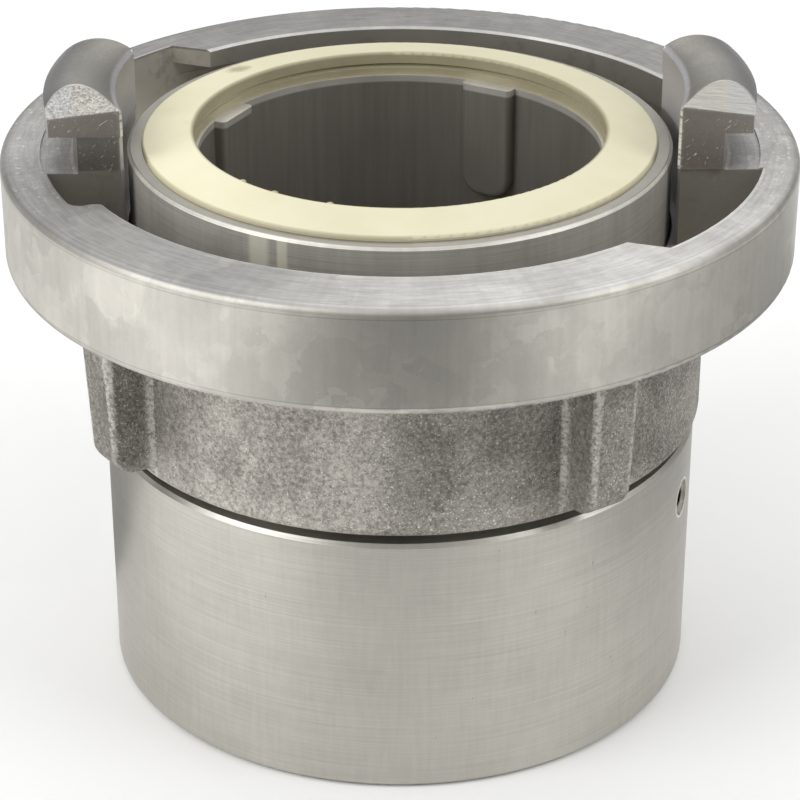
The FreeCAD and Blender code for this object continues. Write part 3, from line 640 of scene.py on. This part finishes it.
def paintCarrier():
    size, edge, band, wave, tone, part = take(
        carrierLook, "size", "edge", "band", "wave", "tone", "part",
    )
    material, paint = newPaint("turnedCarrier")
    place = objectPlace(paint)
    x, y, z = paint.split(place)
    radius = distance(x, y)
    azimuth = azimuthOf(paint, x, y)
    lines = paint.drawn(place, *wave["lines"])
    cloud = paint.noise(place, *wave["cloud"])
    streak = paint.wrapped(azimuth, z, *wave["streak"])
    bore = 1 - paint.step(radius, edge["bore"], size["boreRadius"])
    top = paint.step(z, edge["top"], size["rim"])
    level = paint.step(paint.blend((lines, cloud, streak), part["tone"]), edge["tone"])
    level = paint.spread(level, tone["wall"])
    level = level * (1 - top) + paint.spread(cloud, tone["rimTop"]) * top
    dull = paint.shade(tone["bore"], paint.spread(streak, tone["boreStreak"]))
    skin = paint.mix(bore, metal(paint, level), dull)
    # The bore's upper edge and the pads' tops get a painted highlight
    lipHighlight = paint.step(z, edge["lipFoot"], size["seat"] - size["lipHeight"]) * bore
    lipHighlight = lipHighlight * (1 - paint.step(z, edge["lipTop"], size["seat"]))
    skin = paint.mix(lipHighlight * paint.spread(cloud, tone["lipCloud"]), skin, tone["lipHighlight"])
    # Two soft painted cream reflections on the front wall
    front = 1 - paint.step(y, edge["front"])
    creamReflections = paint.near(x, band["wideReflection"]) + paint.near(x, band["thinReflection"])
    creamReflections = creamReflections * front * (1 - bore) * (1 - top)
    creamReflections = creamReflections * paint.spread(streak, tone["reflectionStreak"])
    skin = paint.mix(creamReflections, skin, tone["cream"])
    metallic = part["wallMetal"] + bore * part["boreMetal"] + top * part["topMetal"]
    metallic = metallic - creamReflections * part["reflectionMetal"]
    roughness = paint.spread(cloud, tone["rough"]) + bore * part["boreRough"]
    finishPaint(paint, {
        "Base Color": skin, "Metallic": metallic, "Roughness": roughness,
        "Normal": paint.bump(lines, *part["bump"]),
    })
    return material


# threaded socket: turned sleeve with a real pipe thread

socketSize = {
    "outerRadius": 48.57, "footEdge": 0.8, "height": 44.4, "topEdge": 0.6,
    "neckRadius": 44.6, "neckTop": 58.9, "neckEdge": 0.6, "tailBore": 39.0, "webTop": 27.0,
    "webBore": 34.0, "threadDepth": 24.0, "undercutHeight": 3.2, "undercutDepth": 1.6,
    "minorRadius": 42.465, "threadsPerInch": 11, "toothDepth": 1.479, "toothFlank": (0.1, 0.9),
    "rowsPerTurn": 6, "segments": 240,
    "holeRadius": 3.0, "holeRise": 34.3, "holeAzimuth": -20.2, "holeSides": 48, "holeSpare": 2.0,
}
socketLook = {
    # of the tone and the nicks, and along x
    "edge": {"tone": (0.35, 0.85), "nick": (0.735, 0.77), "right": (0.0, 1.0)},
    # of holeRadius
    "band": {"hole": (0.2, 0.3)},
    "wave": {
        "lines": ((0.04, 0.04, 5.0), 3.0, 0.6), "fine": ((0.12, 0.12, 16.0), 2.0),
        "upright": (52.0, 0.12, 3.0, 0.6), "cloud": (0.06, 4.0, 0.6),
        # turn, rise, detail, roughness and shift
        "nick": (60.0, 0.35, 2.0, 0.5, 3.0),
    },
    "tone": {"wall": (0.42, 0.58), "rough": (0.36, 0.46)},
    "part": {
        # lines, fine lines, cloud and upright streaks
        "tone": (0.45, 0.20, 0.35, 0.22), "nick": 0.30, "hole": 0.35,
        # lines and fine lines
        "height": (0.7, 0.4), "nickHeight": 0.8, "bump": (0.03, 0.6),
        "along": 0.5, "turned": 0.25,
    },
}


def screwDistance(x, y, z):
    # Distance from the screw's axis, which is level and runs outwards
    azimuth = math.radians(socketSize["holeAzimuth"])
    across = y * math.cos(azimuth) - x * math.sin(azimuth)
    return distance(across, z - socketSize["holeRise"])


def paintSocket():
    edge, band, wave, tone, part = take(socketLook, "edge", "band", "wave", "tone", "part")
    material, paint = newPaint("turnedSocket")
    place = objectPlace(paint)
    x, y, z = paint.split(place)
    azimuth = azimuthOf(paint, x, y)
    lines = paint.drawn(place, *wave["lines"])
    fine = paint.drawn(place, *wave["fine"])
    upright = paint.wrapped(azimuth, z, *wave["upright"])
    cloud = paint.noise(place, *wave["cloud"])
    level = paint.blend((lines, fine, cloud, upright), part["tone"])
    level = paint.spread(paint.step(level, edge["tone"]), tone["wall"])
    # A few short upright nicks, darker than the wall, and a bright rim round the hole
    nick = paint.step(paint.wrapped(azimuth, z, *wave["nick"]), edge["nick"])
    level = level * (1 - nick * part["nick"])
    rim = paint.near(screwDistance(x, y, z), band["hole"], socketSize["holeRadius"])
    level = level + rim * paint.step(x, edge["right"]) * part["hole"]
    height = paint.blend((lines, fine), part["height"]) - nick * part["nickHeight"]
    finishPaint(paint, {
        "Base Color": metal(paint, level), "Metallic": 1.0,
        "Roughness": paint.spread(cloud, tone["rough"]),
        "Normal": paint.bump(height, *part["bump"]),
        "Anisotropic": part["along"], "Anisotropic Rotation": part["turned"],
    })
    return material


def socketProfile(size):
    # Half section of the body in mm, from the thread's mouth outwards and back to its undercut
    outer, top = size["outerRadius"], size["height"]
    neck, neckTop, bore = size["neckRadius"], size["neckTop"], size["tailBore"]
    deep = size["threadDepth"]
    undercut = size["minorRadius"] + size["undercutDepth"]
    return [
        (undercut, 0.0),
        (outer - size["footEdge"], 0.0),
        (outer, size["footEdge"]),
        (outer, top - size["topEdge"]),
        (outer - size["topEdge"], top),
        (neck, top),
        (neck, neckTop - size["neckEdge"]),
        (neck - size["neckEdge"], neckTop),
        (bore + size["neckEdge"], neckTop),
        (bore, neckTop - size["neckEdge"]),
        (bore, size["webTop"]),
        (size["webBore"], size["webTop"]),
        (size["webBore"], deep),
        (undercut, deep),
        (undercut, deep - size["undercutHeight"]),
    ]


def makeSocket(material):
    size = socketSize
    points = [(radius * mm, 0.0, height * mm) for radius, height in socketProfile(size)]
    pitch = inch / size["threadsPerInch"]
    threadTop = (size["threadDepth"] - size["undercutHeight"]) * mm
    values = {
        "Segments": size["segments"],
        "Profile points": len(points),
        "Pitch": pitch,
        "Tooth depth": size["toothDepth"] * mm,
        "Minor radius": size["minorRadius"] * mm,
        "Thread top": threadTop,
        "Lead in": size["undercutDepth"] * mm,
        "Rows per turn": size["rowsPerTurn"],
        "Thread rows": (math.ceil(threadTop / pitch) + 1) * size["rowsPerTurn"] + 1,
        "Hole radius": size["holeRadius"] * mm,
        "Hole rise": size["holeRise"] * mm,
        "Hole azimuth": math.radians(size["holeAzimuth"]),
        "Hole middle": (size["tailBore"] + size["outerRadius"]) / 2 * mm,
        "Hole length": (size["outerRadius"] - size["tailBore"] + 2 * size["holeSpare"]) * mm,
    }
    tree, graph, wires = nodeTree("SocketShape", values)

    # Turned body: each grid row takes its radius and height from one point of the profile
    grid, angle, row = turnAround(graph, wires["Segments"], wires["Profile points"])
    inputs = {
        "Geometry": wires["Geometry"], "Value": graph.add("GeometryNodeInputPosition"),
        "Index": row,
    }
    kind = {"data_type": "FLOAT_VECTOR", "domain": "POINT"}
    radius, _, height = graph.split(graph.add("GeometryNodeSampleIndex", kind, inputs))
    body = around(graph, grid, angle, radius, height)

    # Thread: rows climb one pitch in a turn, and stop at the mouth and at the undercut
    grid, angle, row = turnAround(graph, wires["Segments"], wires["Thread rows"])
    turns = row / wires["Rows per turn"] + angle / (2 * math.pi) - 1.0
    height = graph.math("MAXIMUM", turns * wires["Pitch"], 0.0)
    height = graph.math("MINIMUM", height, wires["Thread top"])
    phase = (row / wires["Rows per turn"]) % 1.0
    tooth = graph.step(1 - abs(phase * 2 - 1), size["toothFlank"])
    wall = wires["Minor radius"] + wires["Tooth depth"] * tooth
    mouth = wires["Minor radius"] + wires["Lead in"] - height
    runout = wires["Minor radius"] + wires["Lead in"] + height - wires["Thread top"]
    radius = graph.math("MAXIMUM", wall, graph.math("MAXIMUM", mouth, runout))
    thread = flipped(graph, around(graph, grid, angle, radius, height))
    closed = merged(graph, graph.join(body, thread))

    # Cross hole of the set screw
    inputs = {
        "Vertices": size["holeSides"], "Radius": wires["Hole radius"],
        "Depth": wires["Hole length"],
    }
    pin = graph.add("GeometryNodeMeshCylinder", None, inputs)
    azimuth = wires["Hole azimuth"]
    place = graph.unite(
        wires["Hole middle"] * graph.math("COSINE", azimuth),
        wires["Hole middle"] * graph.math("SINE", azimuth), wires["Hole rise"],
    )
    turn = graph.unite(0.0, math.pi / 2, azimuth)
    inputs = {"Geometry": pin, "Translation": place, "Rotation": turn}
    pin = graph.add("GeometryNodeTransform", None, inputs)
    # The default solver leaves a stray disc of the bore's wall in the hole
    kind = {"operation": "DIFFERENCE", "solver": "EXACT"}
    drilled = graph.add("GeometryNodeMeshBoolean", kind, {"Mesh 1": closed, "Mesh 2": pin})
    smooth = graph.add("GeometryNodeSetShadeSmooth", None, {"Geometry": drilled})
    endTree(graph, smooth, wires["Material"])

    piece = buildByNodes("socket_turned", tree, points, {**values, "Material": material})
    piece.data.set_sharp_from_angle(angle=sharpAngle)
    return piece


# face seal: cream rubber

sealLook = {
    "size": {"innerRadius": 32.56, "outerRadius": 40.75, "smearRagged": 3.0},
    "edge": {
        # of innerRadius, outerRadius, each smear's size, and -x
        "wall": (0.15, 0.75), "rim": (-0.5, -0.1), "smear": (0.0, 2.2), "left": (10.0, 36.0),
        "cloud": (0.35, 0.7), "dirt": (0.68, 0.80),
    },
    "wave": {"cloud": (0.08, 4.0, 0.6), "ragged": (0.9, 5.0, 0.7), "skin": (1.6, 3.0)},
    "tone": {
        "cream": (0.655, 0.622, 0.445), "shade": (0.625, 0.590, 0.410),
        "wall": (0.30, 0.262, 0.158), "dirt": (0.30, 0.25, 0.15),
        "wallCloud": (0.55, 1.0), "rough": (0.45, 0.58),
    },
    "part": {"left": 0.16, "rim": 0.35, "dirt": 0.30, "bump": (0.05, 0.3)},
    # smears on the upper face: x, y, size and strength
    "smears": [(-26.5, 27.0, 2.2, 0.7), (-36.5, 8.5, 0.4, 0.22), (-33.8, 1.5, 0.4, 0.22)],
}


def paintSeal():
    size, edge, wave, tone, part = take(sealLook, "size", "edge", "wave", "tone", "part")
    material, paint = newPaint("sealRubber")
    place = objectPlace(paint)
    x, y, _ = paint.split(place)
    radius = distance(x, y)
    cloud = paint.noise(place, *wave["cloud"])
    ragged = paint.noise(place, *wave["ragged"])
    skin = paint.mix(paint.step(cloud, edge["cloud"]), tone["cream"], tone["shade"])
    # Painted light lightens the seal towards the left
    skin = paint.shade(skin, 1 + paint.step(0 - x, edge["left"]) * part["left"])
    # Painted shade darkens the inner wall, and the outer edge is darkened in the dirt's tone
    wall = 1 - paint.step(radius, edge["wall"], size["innerRadius"])
    rim = paint.step(radius, edge["rim"], size["outerRadius"])
    skin = paint.mix(wall * paint.spread(cloud, tone["wallCloud"]), skin, tone["wall"])
    skin = paint.mix(rim * part["rim"], skin, tone["dirt"])
    dirt = paint.step(ragged, edge["dirt"]) * part["dirt"]
    for across, along, reach, strength in sealLook["smears"]:
        gap = distance(x - across, y - along) + ragged * size["smearRagged"]
        dirt = dirt + (1 - paint.step(gap, edge["smear"], reach)) * strength
    skin = paint.mix(paint.math("MINIMUM", dirt, 1.0), skin, tone["dirt"])
    finishPaint(paint, {
        "Base Color": skin, "Roughness": paint.spread(cloud, tone["rough"]),
        "Normal": paint.bump(paint.noise(place, *wave["skin"]), *part["bump"]),
    })
    return material


# moulding flash on the seal's inner edge

flashSize = {
    "nubRadius": 0.62, "flatness": 0.45, "segments": 16, "rings": 10,
    "edgeRadius": 32.75, "edgeRise": 92.72, "azimuths": (-137.5, -126.0, -109.5),
}


def makeFlash(material):
    size = flashSize
    values = {"Radius": size["nubRadius"] * mm, "Flatness": size["flatness"]}
    tree, graph, wires = nodeTree("FlashShape", values)
    inputs = {"Segments": size["segments"], "Rings": size["rings"], "Radius": wires["Radius"]}
    ball = graph.add("GeometryNodeMeshUVSphere", None, inputs)
    spots = graph.add("GeometryNodeMeshToPoints", None, {"Mesh": wires["Geometry"]})
    inputs = {
        "Points": spots, "Instance": ball, "Scale": graph.unite(1.0, 1.0, wires["Flatness"]),
    }
    nubs = graph.add("GeometryNodeInstanceOnPoints", None, inputs)
    endTree(graph, nubs, wires["Material"])
    points = []
    radius, rise = size["edgeRadius"] * mm, size["edgeRise"] * mm
    for degrees in size["azimuths"]:
        turn = math.radians(degrees)
        points.append((radius * math.cos(turn), radius * math.sin(turn), rise))
    return buildByNodes("seal_flash", tree, points, {**values, "Material": material})


# small parts

slideTone = {"colour": (0.74, 0.73, 0.68), "dark": (0.62, 0.60, 0.54), "rough": (0.37, 0.53)}
smallLooks = {
    "upper_slide_ring": slideTone,
    "lower_slide_ring": slideTone,
    "carrier_o_ring": {
        "colour": (0.030, 0.030, 0.031), "dark": (0.015, 0.015, 0.016), "rough": (0.42, 0.58),
    },
    "thread_gasket": {
        "colour": (0.035, 0.034, 0.033), "dark": (0.018, 0.018, 0.018), "rough": (0.52, 0.68),
    },
}
smallGrain = {"wave": (1.2, 4.0, 0.6), "edge": (0.3, 0.7), "bump": (0.04, 0.4)}
screwLook = {
    "key": (0.10, 0.095, 0.09), "face": (0.34, 0.33, 0.32), "rim": (0.75, 0.74, 0.72),
    "rough": (0.24, 0.40),
    # distances from the screw's axis
    "keyEdge": (1.6, 2.0), "rimEdge": (2.3, 2.6),
}


def paintSmall(name, look):
    material, paint = newPaint(name + "Skin")
    grain = paint.noise(objectPlace(paint), *smallGrain["wave"])
    skin = paint.mix(paint.step(grain, smallGrain["edge"]), look["dark"], look["colour"])
    finishPaint(paint, {
        "Base Color": skin, "Metallic": 0.0, "Roughness": paint.spread(grain, look["rough"]),
        "Normal": paint.bump(grain, *smallGrain["bump"]),
    })
    return material


def paintScrew():
    # Painted shade for the key's hollow, in a thin ring of painted highlight
    look = screwLook
    material, paint = newPaint("screwSteel")
    place = objectPlace(paint)
    gap = screwDistance(*paint.split(place))
    grain = paint.noise(place, *smallGrain["wave"])
    skin = paint.mix(paint.step(gap, look["keyEdge"]), look["key"], look["face"])
    skin = paint.mix(paint.step(gap, look["rimEdge"]), skin, look["rim"])
    finishPaint(paint, {
        "Base Color": skin, "Metallic": 1.0, "Roughness": paint.spread(grain, look["rough"]),
        "Normal": paint.bump(grain, *smallGrain["bump"]),
    })
    return material


def dress(node, material):
    for slot in nodes[node].material_slots:
        slot.material = material


ringPaint = paintRing()
dress("lug_ring", ringPaint)
dress("seal_carrier", paintCarrier())
sealPaint = paintSeal()
dress("face_seal", sealPaint)
dress("grub_screw", paintScrew())
for name, look in smallLooks.items():
    dress(name, paintSmall(name, look))
print("materials on the packed pieces")

socketPaint = paintSocket()
dress("threaded_socket", socketPaint)
socket = makeSocket(socketPaint)
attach(socket, "coupling_body")
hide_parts("threaded_socket")
print("socket with its thread:", len(socket.data.polygons), "faces")
crests = makeCrestEnds(ringPaint)
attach(crests, "lug_ring")
print("ends of the lugs' crests:", len(crests.data.polygons), "faces")
flash = makeFlash(sealPaint)
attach(flash, "coupling_body")
print("moulding flash on the seal:", len(flash.data.polygons), "faces")


# floor, light and camera: metres, watts and degrees

studio = {
    "floor": (0.88, 0.88, 0.875),
    "floorSize": (4.0, 4.0),
    "sheetRough": 0.8,
    # sky: its level at the horizon and above, and the heights between which it brightens
    "sky": (0.32, 1.0),
    "skyEdge": (0.34, 0.60),
    # a dark part in front of the object, up to a height
    "frontEdge": (0.1, 0.8),
    "frontTop": (0.6, 0.95),
    "frontShade": 0.55,
    "backdrop": 1.0,
    "lights": [
        # name, place, aimed at, width, height, watts
        ("leftPanel", (-0.60, -0.35, 0.45), (0.0, 0.0, 0.04), 0.5, 0.7, 3.6),
        ("rightPanel", (0.60, -0.30, 0.45), (0.0, 0.0, 0.04), 0.4, 0.6, 2.0),
        ("topPanel", (0.0, 0.55, 0.75), (0.0, 0.0, 0.05), 1.0, 0.5, 1.5),
    ],
    "cards": [
        # cards on the floor, which only reflections see, as painted shade and light in the
        # reflections: name, middle, size, shade and glow
        ("frontCard", (0.0, -0.40), (0.24, 0.46), 0.02, 0.0),
        ("rightCard", (0.185, 0.02), (0.17, 0.24), 0.30, 0.0),
        ("leftBackCard", (-0.10, 0.09), (0.09, 0.15), 0.25, 0.0),
        ("leftCard", (-0.19, -0.07), (0.20, 0.13), 0.9, 0.28),
    ],
    "cardRise": 0.001,
    "cameraPlace": (-0.00697, -0.3991, 0.2528),
    "cameraPitch": 62.36,
    "cameraTurn": -1.0,
    "lens": 121.84,
    "sensor": 36.0,
    "clipStart": 0.01,
}
plainWhite = (1.0, 1.0, 1.0, 1.0)


def makeSheet(name, middle, size, rise, colour, glow=0.0):
    across, along = size[0] / 2, size[1] / 2
    x, y = middle
    mesh = bpy.data.meshes.new(name)
    corners = [
        (x - across, y - along, rise), (x + across, y - along, rise),
        (x + across, y + along, rise), (x - across, y + along, rise),
    ]
    mesh.from_pydata(corners, [], [(0, 1, 2, 3)])
    sheet = bpy.data.objects.new(name, mesh)
    bpy.context.scene.collection.objects.link(sheet)
    material, paint = newPaint(name + "Paint")
    finishPaint(paint, {
        "Base Color": asColour(colour), "Roughness": studio["sheetRough"],
        "Emission Color": plainWhite, "Emission Strength": glow,
    })
    mesh.materials.append(material)
    return sheet


def makeWorld():
    world = bpy.data.worlds.new("studio")
    world.use_nodes = True
    world.node_tree.nodes.clear()
    paint = Graph(world.node_tree)
    _, y, z = paint.split(paint.add("ShaderNodeTexCoord", output="Generated"))
    front = paint.step(0 - y, studio["frontEdge"]) * (1 - paint.step(z, studio["frontTop"]))
    glow = paint.spread(paint.step(z, studio["skyEdge"]), studio["sky"])
    glow = glow * (1 - front * studio["frontShade"])
    # The camera sees an even backdrop
    seen = paint.add("ShaderNodeLightPath", output="Is Camera Ray")
    glow = glow * (1 - seen) + seen * studio["backdrop"]
    shader = paint.add("ShaderNodeBackground", None, {"Color": plainWhite, "Strength": glow})
    paint.add("ShaderNodeOutputWorld", None, {"Surface": shader})
    bpy.context.scene.world = world


def makeLights():
    for name, place, target, width, height, watts in studio["lights"]:
        lamp = bpy.data.lights.new(name, "AREA")
        lamp.shape = "RECTANGLE"
        lamp.size = width
        lamp.size_y = height
        lamp.energy = watts
        light = bpy.data.objects.new(name, lamp)
        light.location = place
        aim = Vector(target) - Vector(place)
        light.rotation_euler = aim.to_track_quat("-Z", "Y").to_euler()
        bpy.context.scene.collection.objects.link(light)


def makeCamera():
    lens = bpy.data.cameras.new("photoView")
    lens.sensor_width = studio["sensor"]
    lens.lens = studio["lens"]
    lens.clip_start = studio["clipStart"]
    camera = bpy.data.objects.new("photoView", lens)
    camera.location = studio["cameraPlace"]
    pitch, turn = math.radians(studio["cameraPitch"]), math.radians(studio["cameraTurn"])
    camera.rotation_euler = (pitch, 0.0, turn)
    bpy.context.scene.collection.objects.link(camera)
    bpy.context.scene.camera = camera


makeSheet("floor", (0.0, 0.0), studio["floorSize"], 0.0, studio["floor"])
for name, middle, size, shade, glow in studio["cards"]:
    card = makeSheet(name, middle, size, studio["cardRise"], (shade, shade, shade), glow)
    card.visible_camera = False
    card.visible_diffuse = False
    card.visible_shadow = False
makeWorld()
makeLights()
makeCamera()
bpy.context.scene.view_settings.view_transform = "Standard"
print("studio ready")
